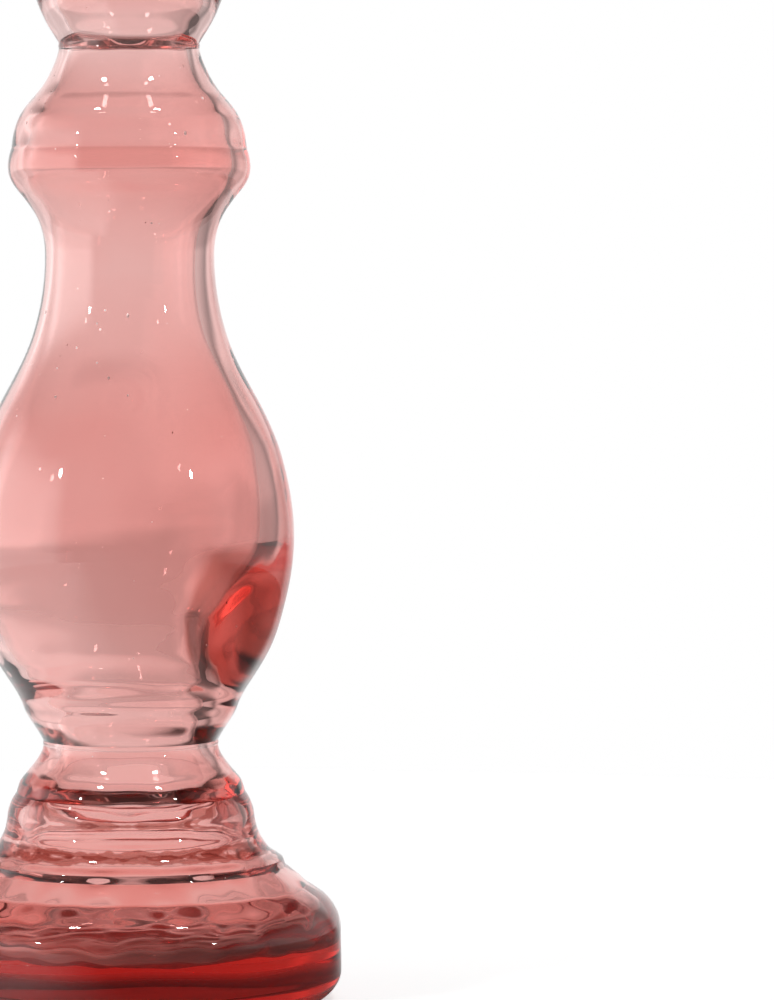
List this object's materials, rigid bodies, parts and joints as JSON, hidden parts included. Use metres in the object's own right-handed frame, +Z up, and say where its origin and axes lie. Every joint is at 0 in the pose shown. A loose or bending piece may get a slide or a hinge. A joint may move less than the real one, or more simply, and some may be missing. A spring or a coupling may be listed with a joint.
{
  "type": "glass candlestick",
  "caption": "Hollow baluster candlestick in tinted glass: heavy stepped foot, bellied stem with a knop, and a cup with a round mouth for a dinner candle.",
  "frame": {"origin": "centre of the standing ring, on the surface that the foot stands on", "axes": "+Z up along the axis of the candlestick, out of the candle mouth; the shape is turned about Z, so +X and +Y are any two level directions"},
  "size_m": [0.095, 0.095, 0.248],
  "materials": {
    "foot_glass": "pink-stained glass, deep red in the drum, fire-polished, with a ground underside",
    "ring_glass": "clear pink glass, fused",
    "stem_glass": "pink-stained clear glass with a wavy inner face and a few seeds, fire-polished",
    "cup_glass": "lightly pink-stained clear glass, fire-polished"
  },
  "bodies": {
    "root": {"foot": "foot_glass", "lower_ring": "ring_glass", "stem": "stem_glass", "upper_ring": "ring_glass", "candle_cup": "cup_glass"}
  },
  "joints": []
}
